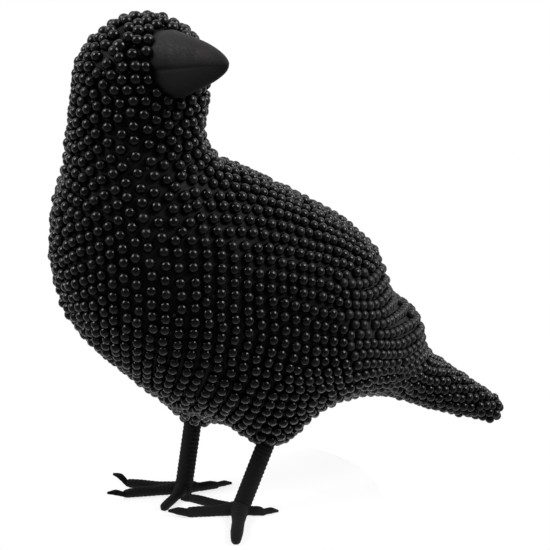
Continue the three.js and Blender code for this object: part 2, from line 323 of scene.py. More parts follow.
def dried_craft_glue(name, deep, light, rump_colour, dull, wet, shine):
    """Dried glue: a blotchy dark film whose gloss comes and goes, with small ripples."""
    material, tree, shader, where = new_material(name)
    blotch = add(tree, "ShaderNodeTexNoise", {"Vector": where}, {"Scale": 90.0, "Detail": 4.0})
    colour = add(tree, "ShaderNodeValToRGB", {"Fac": blotch}, ramp=[(0.45, deep), (0.75, light)])
    # paler behind the wings, from 45 to 58 mm behind the feet
    back = add(tree, "ShaderNodeSeparateXYZ", {"Vector": where}).outputs["Y"]
    rump_share = add(tree, "ShaderNodeMapRange", {"Value": back},
                {"From Min": (45 + SHIFT[1]) * MM, "From Max": (58 + SHIFT[1]) * MM,
                 "To Min": 0.0, "To Max": 1.0})
    colour = add(tree, "ShaderNodeMix", {"Factor": rump_share, "A": colour},
                 {"B": linear(rump_colour)}, data_type="RGBA")
    rough = add(tree, "ShaderNodeMapRange", {"Value": blotch},
                {"From Min": 0.35, "From Max": 0.65, "To Min": dull, "To Max": wet})
    ripple = add(tree, "ShaderNodeTexNoise", {"Vector": where}, {"Scale": 600.0, "Detail": 2.0})
    bump = add(tree, "ShaderNodeBump", {"Height": ripple}, {"Strength": 0.5, "Distance": 0.0005})
    feed(tree, shader, {"Base Color": colour, "Roughness": rough,
                        "Normal": bump}, {"Specular IOR Level": shine})
    return material


GLUE_FILM = dried_craft_glue("dried_glue_film", "#1b1b1c", "#2a2a2c", "#39393b", 0.8, 0.6, 0.12)
GLUE_BLOB = dried_craft_glue("glue_blob", "#151516", "#2c2c2d", "#2c2c2d", 0.3, 0.15, 0.5)

# %% [markdown]
# ## The core
# The core carries the beads. It could be left out, but then the gaps between the beads would show the
# background. It is the skin itself, drawn 2.7 mm further in, with the shallow waves of a layer of glue.

# %% The glued core
CORE_DEPTH = 2.7
core_t = np.concatenate([np.linspace(-0.985, 0, 30), np.linspace(0, LAST, 230)[1:],
                         LAST + np.linspace(0, 0.96, 12)[1:]])
core_a = np.linspace(0, 2 * np.pi, 129)[:-1]
T, A = np.meshgrid(core_t, core_a, indexing="ij")
wave = np.sin(T * 9 + 2 * A) * np.sin(T * 5 - 5 * A) + 0.6 * np.sin(T * 23 + 11 * A)
core = skin(T, A) - outward(T, A) * (CORE_DEPTH - 0.25 * wave)[..., None]
core_tips = skin(-1, 0) - [0, 0, CORE_DEPTH], skin(LAST + 1, 0) - [0, CORE_DEPTH, -0.8]
add_piece("glued_core", [closed_rings(core, *core_tips)], GLUE_FILM, "bead", "body")

# %% [markdown]
# ## Threading beads
# Beads look laid by hand because they are: in strings. A string is a path on the skin, and a bead sits on it
# every so many millimetres. Counting beads along the path instead of millimetres lets the spacing change as
# it goes. Strings are laid one after the other, and a bead that would cut into an earlier one is left out,
# just as the maker would skip it. Each bead sits with its middle 1.9 mm under the mean skin, so that the
# tops stand a little proud of the solid's skin, as the solid's own studs do.

# %% String tools
BEAD = 5.0
SEAT = 1.9
TOUCH = 4.75                           # centres nearer than this would cut visibly into each other
laid = {"t": np.zeros(0), "a": np.zeros(0), "at": np.zeros((0, 3)), "zone": np.zeros(0, int)}
ZONES = ["head", "breast", "flank", "rump", "belly", "tail"]


def seat(t, a):
    """Middle of a bead that sits at (t, a)."""
    return skin(t, a) - outward(t, a) * SEAT


def thread(t, a, pitch, phase, ends=None):
    """Places every pitch millimetres along a path, the first one phase of a pitch from its start. Path
    length over pitch, summed up, counts beads, and the places are where the count is phase + 0, 1, 2 ...
    With ends given, the count is stretched so that the last bead is that part of a pitch from the end."""
    p = seat(t, a)
    pitch = np.broadcast_to(pitch, t.shape)
    step = np.linalg.norm(np.diff(p, axis=0), axis=1) / (pitch[1:] + pitch[:-1]) * 2
    count = np.concatenate([[0], np.cumsum(step)])
    if ends is not None:
        count *= (max(1, round(count[-1] - phase - ends)) + phase + ends + 1e-6) / count[-1]
    k = np.arange(phase, count[-1], 1.0)
    return np.interp(k, count, t), np.interp(k, count, a)


def loop(t, a, pitch, phase):
    """The same on a closed ring: the pitch gives way a little so that a whole number fits."""
    p = seat(t, a)
    run = np.concatenate([[0], np.cumsum(np.linalg.norm(np.diff(p, axis=0), axis=1))])
    n = max(1, round(run[-1] / pitch))
    s = (np.arange(n) + phase) / n * run[-1]
    return np.interp(s, run, t), np.interp(s, run, a)


def lay(t, a, zone, gap=TOUCH, allowed=None):
    """Keeps the beads of a string that are allowed and lie at least gap from every bead laid before."""
    at = seat(t, a)
    keep = np.ones(len(t), bool) if allowed is None else allowed(t, a, at)
    keep &= clear_of_parts(at)
    if len(laid["at"]) and keep.any():
        near = np.linalg.norm(at[keep][:, None] - laid["at"][None], axis=-1).min(1)
        keep[keep] = near >= gap
    laid["t"] = np.concatenate([laid["t"], t[keep]])
    laid["a"] = np.concatenate([laid["a"], a[keep]])
    laid["at"] = np.concatenate([laid["at"], at[keep]])
    laid["zone"] = np.concatenate([laid["zone"], np.full(keep.sum(), ZONES.index(zone))])


# %% [markdown]
# ## What the beads keep clear of
# The beak, the eyes and the tops of the legs come out between the beads. A bead is allowed only where its
# middle is far enough from each of them. The beak is a stout cone whose sides are full: its radius falls
# with a power of the way that is left to the tip.

# %% Beak, eye and leg clearances
FACE = np.array([math.sin(math.radians(FACE_HEADING)), -math.cos(math.radians(FACE_HEADING)), 0])
BEAK = {"height": 223.7, "from_axis": 24.1, "radius": 15.3, "length": 33.9, "pitch": 8, "root": 8, "droop": 1}
BEAK_WIDE = 0.8                        # narrower than it is high
BEAK_FULL, BEAK_RUSH = 0.71, 1.25      # powers of the way left, for the radius and for the place of the rings
BEAK_TAPER = 0.57                      # the first divided by the second: the radius by the distance left
BEAK_AXIS = FACE * math.cos(math.radians(BEAK["pitch"])) + [0, 0, math.sin(math.radians(BEAK["pitch"]))]
BEAK_SIDE = unit(np.cross([0, 0, 1], BEAK_AXIS))
BEAK_UP = np.cross(BEAK_AXIS, BEAK_SIDE)
BEAK_BASE = np.array([*HEAD_AXIS, BEAK["height"]]) + FACE * BEAK["from_axis"]
FEET = {"left": [17.2, 7.9], "right": [-17.2, -7.9]}
KNEES = {"left": np.array([19, 22.2, 38]), "right": np.array([-18.8, -1.3, 37.9])}
SHANK_RADIUS, ANKLE_HEIGHT = 4.4, 2.4
BEAK_CLEAR, EYE_CLEAR, LEG_CLEAR = 2.05, EYE_RADIUS + BEAD / 2 - 0.35, SHANK_RADIUS + BEAD / 2 - 0.5


def off_beak(at):
    """Way along the beak's axis, and distance from the beak's side: the distance from the axis, less the
    oval's own radius in that direction, which shrinks with a power of the way that is left to the tip."""
    q = at - BEAK_BASE
    along = q @ BEAK_AXIS
    size = BEAK["radius"] * np.clip(1 - along / BEAK["length"], 0.001, 1) ** BEAK_TAPER
    across, up = q @ BEAK_SIDE, q @ BEAK_UP
    return along, np.hypot(across, up) * (1 - size / np.hypot(across / BEAK_WIDE, up))


def clear_of_parts(at):
    """True for bead middles that are clear of beak, eyes and legs."""
    along, off = off_beak(at)
    free = (off > BEAK_CLEAR) | (along < -12)
    for eye in EYES.values():
        free &= np.linalg.norm(at - eye, axis=-1) > EYE_CLEAR
    for side, knee in KNEES.items():
        foot = np.array([*FEET[side], ANKLE_HEIGHT])
        up = unit(knee - foot)
        q = at - foot
        off = np.linalg.norm(q - (q @ up)[..., None] * up, axis=-1)
        free &= (off > LEG_CLEAR) | (at[..., 2] > knee[2] + 20)
    return free


# %% [markdown]
# ## The collar around the beak
# The beads nearest the beak follow its edge, a loose necklace pressed against it. Its path is where the
# middle of a bead is a little less than a bead radius from the beak's side. A dense net of skin points finds
# it: for each direction around the beak's axis, the point whose distance from the side is nearest the wanted
# one. A bead that would cut into an earlier one where the necklace closes is left out.

# %% Collar path
COLLAR_OFF, COLLAR_PITCH, COLLAR_GAP = 2.2, 6.4, 4.9
net_t, net_a = np.meshgrid(np.linspace(-0.98, 2.2, 500), np.linspace(-np.pi, np.pi, 900), indexing="ij")
net = seat(net_t, net_a)
along, beside = off_beak(net)
turn = np.degrees(np.arctan2((net - BEAK_BASE) @ BEAK_UP, (net - BEAK_BASE) @ BEAK_SIDE)) % 360
front = along > -14
collar = []
for step in range(0, 360, 2):
    off = np.abs(beside - COLLAR_OFF) + np.where(front, 0, 99)
    off = off + np.where(np.abs((turn - step + 180) % 360 - 180) < 1, 0, 99)
    collar.append(np.unravel_index(off.argmin(), off.shape))
collar.append(collar[0])
rows, cols = np.array(collar).T
lay(*loop(net_t[rows, cols], np.unwrap(net_a[rows, cols]), COLLAR_PITCH, 0.0), "head", COLLAR_GAP)
print("collar beads:", len(laid["t"]))

# %% [markdown]
# ## Tight rows over the rump
# Behind the wings the strings run level around the bird's back, one bead touching the next, and the rows
# stand a little apart, so the back outline steps down like stairs. A row joins points of the same height,
# tilted slightly down towards the tail, with a slow wave as hand-laid strings have. Its two ends stop at the
# edge of the region, so the beads are stretched to end there, too.

# %% Rump rows
RUMP_FRONT, RUMP_TOP, RUMP_TILT = 50, 123.5, 0.18
RUMP_ROW, RUMP_PITCH, RUMP_END, RUMP_GAP = 5.1, 4.95, 0.45, 4.6


def rump_level(p):
    """Height of a row through point p: z plus a tilt along the body plus a slow wave."""
    x, y, z = p[..., 0], p[..., 1], p[..., 2]
    wave = 1.2 * np.sin(y * 0.16 + z * 0.09) + 0.8 * np.sin(x * 0.17 + z * 0.11)
    return z + RUMP_TILT * (y - RUMP_FRONT) + wave


def on_rump(t, a, at):
    """Behind the wings, under the wing tips' line, above the tail's root and not on the underside."""
    edge = RUMP_FRONT + 3 * np.sin(at[:, 2] * 0.4)
    return (at[:, 1] > edge) & (rump_level(at) < RUMP_TOP) & (t < 9.8) & (outward(t, a)[:, 2] > -0.55)


fine_t = np.linspace(5.5, 11, 700)
fine_a = np.radians(np.arange(20, 341, 1.0))
level = rump_level(seat(fine_t[:, None], fine_a[None]))
falling = -np.minimum.accumulate(level, axis=0)
for k in range(16):
    height = RUMP_TOP - RUMP_ROW * (k + 0.45)
    row_t = np.array([np.interp(-height, falling[:, j], fine_t) for j in range(len(fine_a))])
    inside = np.flatnonzero(on_rump(row_t, fine_a, seat(row_t, fine_a)))
    if len(inside) < 4:
        continue
    part = slice(inside[0], inside[-1] + 1)
    t, a = thread(row_t[part], fine_a[part], RUMP_PITCH, RUMP_END, RUMP_END)
    lay(t, a, "rump", RUMP_GAP, on_rump)
print("with the rump:", len(laid["t"]))

# %% [markdown]
# ## Columns down the breast
# On neck and breast the strings hang down. The first one hangs along a seam under the side of the neck, and
# the next ones follow towards the front: 6.4 mm apart beside the seam, and 5 mm apart in the middle of the
# breast. Each starts a little higher than its neighbour, a sixth of a bead step near the seam and half a step
# in front, which makes the slanting rows. The steps are short low down and long on the neck. Level slices of
# the body give the distance around: on each slice the angle is found where the run from the seam has the
# wanted length.

# %% Level slices of the breast
SEAM, BREAST_TOP = -26.0, 203          # y of the seam, and where the head's scattered beads take over
COLUMNS, BREAST_GAP = 20, 4.9
half_a = np.radians(np.arange(0, 181, 1.5))
fine_t = np.linspace(0.1, 9, 900)
heights = seat(fine_t[:, None], half_a[None])[..., 2]
falling = -np.minimum.accumulate(heights, axis=0)
slices = np.arange(209, 58, -0.8)
slice_t = np.stack([np.interp(-slices, falling[:, j], fine_t) for j in range(len(half_a))], axis=1)
slice_p = seat(slice_t, half_a[None])
run = np.concatenate([np.zeros((len(slices), 1)),
                      np.linalg.norm(np.diff(slice_p, axis=1), axis=-1).cumsum(1)], axis=1)
at_seam = np.array([np.interp(SEAM, slice_p[i, :, 1], run[i]) for i in range(len(slices))])

# %% Breast columns
column_gap = np.interp(np.arange(COLUMNS), [0, 2, 7], [6.4, 6.1, 5.0])
column_at = 0.9 + np.concatenate([[0], column_gap.cumsum()])
column_lift = np.concatenate([[0], np.interp(np.arange(COLUMNS), [0, 5], [0.16, 0.5]).cumsum()])


def on_breast(t, a, at):
    """In front of the seam, below the head, and short of the middle line, where the sides' columns meet."""
    return (at[:, 1] < SEAM + 1) & (np.abs(at[:, 0]) > 1.5) & (at[:, 2] < BREAST_TOP)


for side in (1, -1):
    for j in range(COLUMNS):
        s = at_seam - column_at[j]
        rows = np.flatnonzero(s > 0)
        if len(rows) < 8:
            continue
        string_a = np.array([np.interp(s[i], run[i], half_a) for i in rows])
        string_t = np.array([np.interp(s[i], run[i], slice_t[i]) for i in rows])
        pitch = np.interp(slices[rows], [60, 105, 135, 165, 190], [5.6, 5.8, 6.3, 6.5, 6.9])
        t, a = thread(string_t, string_a, pitch, (0.3 * (side < 0) - column_lift[j]) % 1)
        lay(t, side * a, "breast", BREAST_GAP, on_breast)
print("with the breast:", len(laid["t"]))

# %% [markdown]
# ## Long rows on the flanks
# From the seam backwards the strings run along the body. They could be drawn one by one, but a current is
# easier: at each place it says how fast a string climbs around the body while it runs along it, quickly
# behind the shoulder, and hardly at all at the ridge of the back and at the keel. All strings start on one
# line halfway along the flank, 6 mm apart, and are followed both ways in small steps. The beads stand closer
# together the further back they are, and a string that reaches the rump is stretched to end there.

# %% The current on the flanks
SECTION_AT = [2.5, 3.5, 4.4, 5.2, 6.0, 7.0]
CLIMB = [45, 40, 29, 17.5, 13.5, 12]   # degrees around the body for one section along it
START_LINE, ROW_GAP = 8, 6.0           # y of the line, and from row to row on it
BELLY_ROWS = 7                         # the lowest rows are counted as belly


def climb(t, a):
    """Degrees around per section along: a value for the section, falling to none at ridge and keel."""
    return np.interp(t, SECTION_AT, CLIMB) * np.clip((180 - a) / 75, 0, 1) * np.clip(a / 50, 0, 1)


line_a = np.arange(1, 180, 1.0)
line_t = np.linspace(3, 9, 600)
line_y = seat(line_t[:, None], np.radians(line_a)[None])[..., 1]
start_t = np.array([np.interp(START_LINE, line_y[:, j], line_t) for j in range(len(line_a))])
start_t, start_a = thread(start_t, np.radians(line_a), ROW_GAP, 0.4)
ways = []
for step in (-0.02, 0.02):
    t, a = start_t.copy(), np.degrees(start_a)
    way = []
    for _ in range(230):
        way.append((t, a))
        a = a + step * climb(t, a)
        t = t + step
    ways.append(np.array(way))
rows = np.concatenate([ways[0][:0:-1], ways[1]])
print("flank rows on each side:", len(start_t))

# %% Flank rows


def on_flank(t, a, at):
    """Behind the seam and not on the rump."""
    return (at[:, 1] > SEAM + 2.5) & ~on_rump(t, a, at) & (np.abs(a) < np.pi) & (np.abs(a) > 0.02)


for side in (1, -1):
    for n in range(len(start_t) - 1, -1, -1):
        t, a = rows[:, 0, n], np.radians(rows[:, 1, n])
        at = seat(t, a)
        along = (t > 1.5) & (t < 9.9) & (at[:, 1] > SEAM + 2.5)
        along &= np.cumsum(along & on_rump(t, a, at)) == 0
        if along.sum() < 12:
            continue
        t, a, at = t[along], a[along], at[along]
        pitch = np.interp(at[:, 1], [-26, 0, 25, 45], [6.7, 6.3, 5.6, 5.05])
        first = 0.3 + 0.12 * math.sin(n * 0.7) + 0.06 * chance.random()
        t, a = thread(t, a, pitch, first, 0.4 if at[-1, 1] > 40 else None)
        lay(t, side * a, "flank" if n >= BELLY_ROWS else "belly", TOUCH, on_flank)
print("with the flanks:", len(laid["t"]))

# %% [markdown]
# ## A scattered head
# The head has no strings: its beads were set one by one, wherever there was room. Two steps copy that.
# First beads are thrown at random places and stay if nothing lies within 4.35 mm. Then they settle: in each
# round beads that are too close push each other away along the skin, until the heap is evenly packed.

# %% Settling


def settle(mobile, reach, rounds):
    """Moves the mobile beads. The push between two beads points away from the neighbour and grows evenly from
    nothing at reach. A push in space is turned into steps of t and a by the skin's own directions there."""
    e = 0.01
    for _ in range(rounds):
        t, a = laid["t"][mobile], laid["a"][mobile]
        down, around = (skin(t + e, a) - skin(t - e, a)) / (2 * e), (skin(t, a + e) - skin(t, a - e)) / (2 * e)
        apart = laid["at"][mobile][:, None] - laid["at"][None]
        gap = np.linalg.norm(apart, axis=-1, keepdims=True)
        push = (apart / np.maximum(gap, 0.1) * np.clip(reach - gap, 0, None) * (gap > 1e-6)).sum(1) * 0.25
        new_t = t + (push * down).sum(-1) / (down**2).sum(-1)
        new_a = a + (push * around).sum(-1) / (around**2).sum(-1)
        new_at = seat(new_t, new_a)
        fine = clear_of_parts(new_at) & (new_t > -0.99)
        laid["t"][mobile] = np.where(fine, new_t, t)
        laid["a"][mobile] = np.where(fine, new_a, a)
        laid["at"][mobile] = np.where(fine[:, None], new_at, laid["at"][mobile])


# %% Scattering
THROWS, HEAD_GAP = 7000, 4.35
HEAD_REACH, HEAD_ROUNDS = 6.1, 60
fixed = len(laid["t"])
for _ in range(THROWS):
    t, a = chance.uniform(-0.98, 2.1, 1), chance.uniform(-np.pi, np.pi, 1)
    lay(t, a, "head", HEAD_GAP)
settle(np.arange(fixed, len(laid["t"])), HEAD_REACH, HEAD_ROUNDS)
print("scattered on the head:", len(laid["t"]) - fixed)

# %% [markdown]
# ## Rings on the tail
# The tail is ringed from its root to its tip. Every second ring is turned by half a bead, so that the beads
# lie in each other's gaps. Rings are placed by walking along the tail and counting ring distances.

# %% Tail rings
TAIL_START, TAIL_ROW, TAIL_PITCH, TAIL_GAP = 9.75, 4.95, 5.0, 4.6


def ring_places(first, last, pitch):
    """Even places between two sections: the mean length of four lines along the body is counted in pitches."""
    t = np.linspace(first, last, 600)
    lines = np.stack([seat(t, q * np.pi / 2) for q in range(4)])
    length = np.linalg.norm(np.diff(lines, axis=1), axis=-1).mean(0).cumsum()
    count = round(length[-1] / pitch)
    return np.interp(np.arange(count + 1) / count * length[-1], np.concatenate([[0], length]), t)


circle = np.linspace(-np.pi, np.pi, 361)
for i, place in enumerate(ring_places(TAIL_START, LAST + 0.97, TAIL_ROW)):
    t, a = loop(np.full(361, place), circle, TAIL_PITCH, 0.5 * (i % 2))
    lay(t, a, "tail", TAIL_GAP)
print("with the tail:", len(laid["t"]))

# %% [markdown]
# ## Filling the holes
# Where two layouts meet, holes are left that a maker would fill with single beads. Random places over the
# whole skin are tried, and one is filled if no bead is near. A bead in a hole belongs to the zone of its
# nearest neighbour. At last everything but rump and tail settles a little.

# %% Single beads
HOLE, COAT_REACH, COAT_ROUNDS = 4.15, 5.5, 12
tries = 60000
t = chance.uniform(-0.98, LAST + 0.97, tries)
a = chance.uniform(-np.pi, np.pi, tries)
at = seat(t, a)
near = np.full(tries, 99.0)
whose = np.zeros(tries, int)
for block in np.array_split(np.arange(tries), 60):
    gap = np.linalg.norm(at[block][:, None] - laid["at"][None], axis=-1)
    near[block], whose[block] = gap.min(1), laid["zone"][gap.argmin(1)]
before = len(laid["t"])
for i in np.flatnonzero(near > HOLE):
    lay(t[i:i + 1], a[i:i + 1], ZONES[whose[i]], HOLE)
loose = ~np.isin(laid["zone"], [ZONES.index("rump"), ZONES.index("tail")])
loose |= np.arange(len(loose)) >= before
settle(np.flatnonzero(loose), COAT_REACH, COAT_ROUNDS)
print("single beads:", len(laid["t"]) - before, "all beads:", len(laid["t"]))

# %% [markdown]
# ## Cheeks beside the beak
# On both sides of the beak the beads are piled against its root, so that they end at its edge and none of
# the root shows. Beads near the beak are moved along its axis, towards a line 2 mm behind its edge: those
# that touch it all the way, the next ones less, and those above and below it not at all.

# %% Cheeks
head = np.flatnonzero(laid["zone"] == ZONES.index("head"))
along, beside = off_beak(laid["at"][head])
across, up = (laid["at"][head] - BEAK_BASE) @ BEAK_SIDE, (laid["at"][head] - BEAK_BASE) @ BEAK_UP
sideways = np.clip(1.5 * np.abs(across) / np.hypot(across, up) - 0.2, 0, 1)
near_edge = np.exp(-np.clip(beside - COLLAR_OFF, 0, None) / 5)
lift = np.clip(-2 - along, 0, None) * near_edge * sideways * (along > -20)
laid["at"][head] += lift[:, None] * BEAK_AXIS
print("beads moved on the cheeks:", (lift > 0.5).sum(), "at most", lift.max().round(1), "mm")

# %% [markdown]
# ## One bead, many times
# A bead is a cube whose sides are cut in three by three and pushed out to a sphere: 54 faces, all nearly
# the same size, which is rounder than a globe of the same count. The template is copied to every place in
# one go, each copy turned at random and a hair larger or smaller. A nudge of a fraction of a millimetre
# keeps the strings from looking ruled.

# %% The bead's template


def cube_ball(cuts=3):
    """Unit sphere from a cube: grid lines at equal angles on each side, points pushed to length one, and
    points that two sides share merged."""
    line = np.tan(np.linspace(-1, 1, cuts + 1) * np.pi / 4)
    u, v = np.meshgrid(line, line, indexing="ij")
    sheets = []
    for axis in range(3):
        for sign in (-1, 1):
            sheets.append(np.insert(np.stack([u.ravel(), v.ravel()], -1), axis, sign, axis=1))
    points = unit(np.concatenate(sheets))
    cell = np.arange(cuts)[:, None] * (cuts + 1) + np.arange(cuts)
    quad = np.stack([cell, cell + 1, cell + cuts + 2, cell + cuts + 1], -1).reshape(-1, 4)
    quads = np.concatenate([quad + k * (cuts + 1) ** 2 for k in range(6)])
    points, back = np.unique(points.round(6), axis=0, return_inverse=True)
    quads = back.reshape(-1)[quads]
    middle = points[quads].mean(1)
    facing = (np.cross(points[quads[:, 1]] - points[quads[:, 0]], points[quads[:, 2]] - points[quads[:, 0]])
              * middle).sum(1)
    quads[facing < 0] = quads[facing < 0][:, ::-1]
    return points, quads


def random_turns(n):
    """n random rotation matrices, from normalised random quaternions."""
    w, x, y, z = unit(chance.normal(size=(n, 4))).T
    return np.stack([
        1 - 2 * (y * y + z * z), 2 * (x * y - z * w), 2 * (x * z + y * w),
        2 * (x * y + z * w), 1 - 2 * (x * x + z * z), 2 * (y * z - x * w),
        2 * (x * z - y * w), 2 * (y * z + x * w), 1 - 2 * (x * x + y * y),
    ], -1).reshape(n, 3, 3)


def copies(shapes):
    """Points and faces of many copies of the bead template, given as an array copies x points x 3."""
    quads = (BALL_FACES[None] + np.arange(len(shapes))[:, None, None] * len(BALL)).reshape(-1, 4)
    return shapes.reshape(-1, 3), quads


BALL, BALL_FACES = cube_ball()
ROUNDER = 1.06                         # points pushed out, because the flat faces cut into the ball
print("bead template:", len(BALL), "points,", len(BALL_FACES), "faces")

# %% [markdown]
# ## The bead coat
# The coat is split by region, so that each mesh stays small. All six meshes together stand for the body.

# %% Bead meshes
NUDGE = {"head": 0.22, "breast": 0.28, "flank": 0.26, "rump": 0.1, "belly": 0.2, "tail": 0.25}
for number, zone in enumerate(ZONES):
    mine = laid["zone"] == number
    count = mine.sum()
    centres = laid["at"][mine] + chance.normal(size=(count, 3)) * NUDGE[zone]
    radii = BEAD / 2 * (1 + 0.015 * chance.normal(size=count))
    directions = np.einsum("nij,vj->nvi", random_turns(count), BALL)
    balls = directions * (radii * ROUNDER)[:, None, None] + centres[:, None]
    tone = np.repeat(chance.random(count), len(BALL))
    if zone == "rump":
        tone = tone + 1                # paler, satin beads all over the rump
    add_piece(f"beads_{zone}", [copies(balls)], ACRYLIC, "bead", "body", tone=tone,
              normals=directions.reshape(-1, 3))

# %% [markdown]
# ## Glue blobs
# A few gaps hold a blob of glue that squeezed out, more of them around the eyes than elsewhere. Each is the
# bead template, flattened along the skin's outward direction.

# %% Glue in the gaps
BLOBS, BLOBS_APART = 70, 9
tries = 6000
t = np.concatenate([chance.uniform(-0.8, 6, tries), chance.uniform(-0.6, 0.6, tries)])
a = chance.uniform(-np.pi, np.pi, 2 * tries)
at = skin(t, a) - outward(t, a) * 1.7
kept = []
for i in chance.permutation(2 * tries):
    gap = np.linalg.norm(laid["at"] - at[i], axis=1).min()
    apart = not kept or np.linalg.norm(at[kept] - at[i], axis=1).min() > BLOBS_APART
    if 2.9 < gap < 4.5 and apart and clear_of_parts(at[i][None])[0]:
        kept.append(i)
    if len(kept) == BLOBS:
        break
kept = np.array(kept)
flat = outward(t[kept], a[kept])
sizes = chance.uniform(0.6, 1.1, len(kept))
blobs = np.einsum("nij,vj->nvi", random_turns(len(kept)), BALL)
blobs -= 0.45 * (blobs * flat[:, None]).sum(-1, keepdims=True) * flat[:, None]
blobs = blobs * sizes[:, None, None] + at[kept][:, None]
add_piece("glue_blobs", [copies(blobs)], GLUE_BLOB, "bead", "body")

# %% [markdown]
# ## The beak
# The beak is modelled clay or a carved plug, painted matt black. It is a stack of rings around an axis that
# points out of the face and slightly up. The radius falls with a power of the remaining way, which gives
# full sides and a blunt tip, and the axis droops a little. A thin crease along each side is the mouth line,
# the lower half is a little smaller, and at the tip the upper half hooks over it. The paint is matt, with
# brush marks along the beak and browner in one spot near the tip. A painted highlight lies along the top,
# broken up by the brush marks, and painted light from below makes the lower half paler.

# %% Beak material


def matt_brush_paint():
    """Matt black paint: soft sheen, faint streaks along the beak, a painted highlight on top, painted light
    below, a brown smudge.
    """
    material, tree, shader, where = new_material("matt_brush_paint")
    turned = add(tree, "ShaderNodeMapping", {"Vector": where},
                 {"Rotation": (0, math.radians(BEAK["pitch"]), math.radians(90 - FACE_HEADING)),
                  "Scale": (60.0, 900.0, 900.0)})
    streak = add(tree, "ShaderNodeTexNoise", {"Vector": turned}, {"Scale": 1.0, "Detail": 3.0})
    cloud = add(tree, "ShaderNodeTexNoise", {"Vector": where}, {"Scale": 110.0, "Detail": 3.0})
    colour = add(tree, "ShaderNodeValToRGB", {"Fac": cloud}, ramp=[(0.35, "#1b1b1c"), (0.7, "#252324")])
    # painted highlight along the ridge: height above the beak's axis, broken up by the brush streaks
    from_base = add(tree, "ShaderNodeVectorMath", {0: where}, {1: ((BEAK_BASE + SHIFT) * MM).tolist()},
                    operation="SUBTRACT")
    above = add(tree, "ShaderNodeVectorMath", {0: from_base}, {1: BEAK_UP.tolist()}, operation="DOT_PRODUCT")
    height_highlight = add(tree, "ShaderNodeMapRange", {"Value": above},
               {"From Min": 0.004, "From Max": 0.014, "To Min": 0.0, "To Max": 1.3})
    painted_highlight = add(tree, "ShaderNodeMath", {0: height_highlight, 1: streak}, operation="MULTIPLY")
    ridge = add(tree, "ShaderNodeMix", {"Factor": painted_highlight, "A": colour},
                {"B": linear("#302f2f")}, data_type="RGBA")
    # painted light from below: the lower half is a little paler
    painted_underlight = add(tree, "ShaderNodeMapRange", {"Value": above},
                {"From Min": 0.0, "From Max": -0.008, "To Min": 0.0, "To Max": 1.0})
    ridge = add(tree, "ShaderNodeMix", {"Factor": painted_underlight, "A": ridge},
                {"B": linear("#323234")}, data_type="RGBA")
    # a brown smudge 5 mm across on the upper side near the tip
    smudge = BEAK_BASE + SHIFT + 23 * BEAK_AXIS + 4.5 * BEAK_UP - 3 * BEAK_SIDE
    off = add(tree, "ShaderNodeVectorMath", {0: where}, {1: (smudge * MM).tolist()}, operation="DISTANCE")
    brown = add(tree, "ShaderNodeMapRange", {"Value": off},
                {"From Min": 0.005, "From Max": 0.0015, "To Min": 0.0, "To Max": 0.7})
    colour = add(tree, "ShaderNodeMix", {"Factor": brown, "A": ridge},
                 {"B": linear("#33262a")}, data_type="RGBA")
    rough = add(tree, "ShaderNodeMapRange", {"Value": streak},
                {"From Min": 0.3, "From Max": 0.7, "To Min": 0.55, "To Max": 0.75})
    bump = add(tree, "ShaderNodeBump", {"Height": streak}, {"Strength": 0.25, "Distance": 0.0003})
    feed(tree, shader, {"Base Color": colour, "Roughness": rough,
                        "Normal": bump}, {"Specular IOR Level": 0.3})
    return material


# %% Beak mesh
u = np.concatenate([[0, 0], np.linspace(0, 0.985, 46)[1:]])[:, None]
beak_turn = np.linspace(0, 2 * np.pi, 97)[:-1][None]
way = BEAK["length"] * (1 - (1 - u) ** BEAK_RUSH)
way[0] = -BEAK["root"]
size = BEAK["radius"] * (1 - u) ** BEAK_FULL
from_mouth = np.degrees(np.minimum(np.abs((beak_turn + math.radians(4) + np.pi) % (2 * np.pi) - np.pi),
                                   np.abs((beak_turn - math.radians(184) + np.pi) % (2 * np.pi) - np.pi)))
# all as shares of the radius: the mouth line, six degrees wide, then the lower half, smaller at the tip
crease = 0.06 * np.exp(-((from_mouth / 3) ** 2)) * np.clip(1.1 - u, 0, 1)
lower = 1 / (1 + np.exp((np.sin(beak_turn) + 0.07) * 40))
crease = crease + lower * (0.03 + 0.3 * np.clip((u - 0.86) / 0.14, 0, 1) ** 2)
hand = 0.012 * np.sin(3 * beak_turn + 5 * u) + 0.008 * np.sin(5 * beak_turn - 9 * u + 1)
r = (size * (1 - crease + hand * (1 - u)))[..., None]
spine = BEAK_BASE + way[..., None] * BEAK_AXIS - (BEAK["droop"] * u**2)[..., None] * BEAK_UP
beak = spine + r * (BEAK_WIDE * np.cos(beak_turn)[..., None] * BEAK_SIDE
                    + np.sin(beak_turn)[..., None] * BEAK_UP)
beak_root = BEAK_BASE - BEAK["root"] * BEAK_AXIS
beak_tip = BEAK_BASE + BEAK["length"] * BEAK_AXIS - BEAK["droop"] * BEAK_UP
add_piece("painted_beak", [closed_rings(beak, beak_root, beak_tip)], matt_brush_paint(), "beak", "beak")

# %% [markdown]
# ## The eyes
# Each eye is one larger bead, polished brighter than the rest, sunk a little between its neighbours. The
# cube-ball with more cuts makes it smooth.

# %% Eye material and meshes


def polished_eye_bead():
    """Polished black acrylic: mirror-like, only a trace of dust."""
    material, tree, shader, where = new_material("polished_eye_bead")
    dust = add(tree, "ShaderNodeTexNoise", {"Vector": where}, {"Scale": 700.0, "Detail": 3.0})
    rough = add(tree, "ShaderNodeMapRange", {"Value": dust},
                {"From Min": 0.4, "From Max": 0.7, "To Min": 0.08, "To Max": 0.16})
    colour = add(tree, "ShaderNodeValToRGB", {"Fac": dust}, ramp=[(0, "#070708"), (1, "#0e0e0f")])
    feed(tree, shader, {"Base Color": colour, "Roughness": rough}, {"IOR": 1.49})
    return material


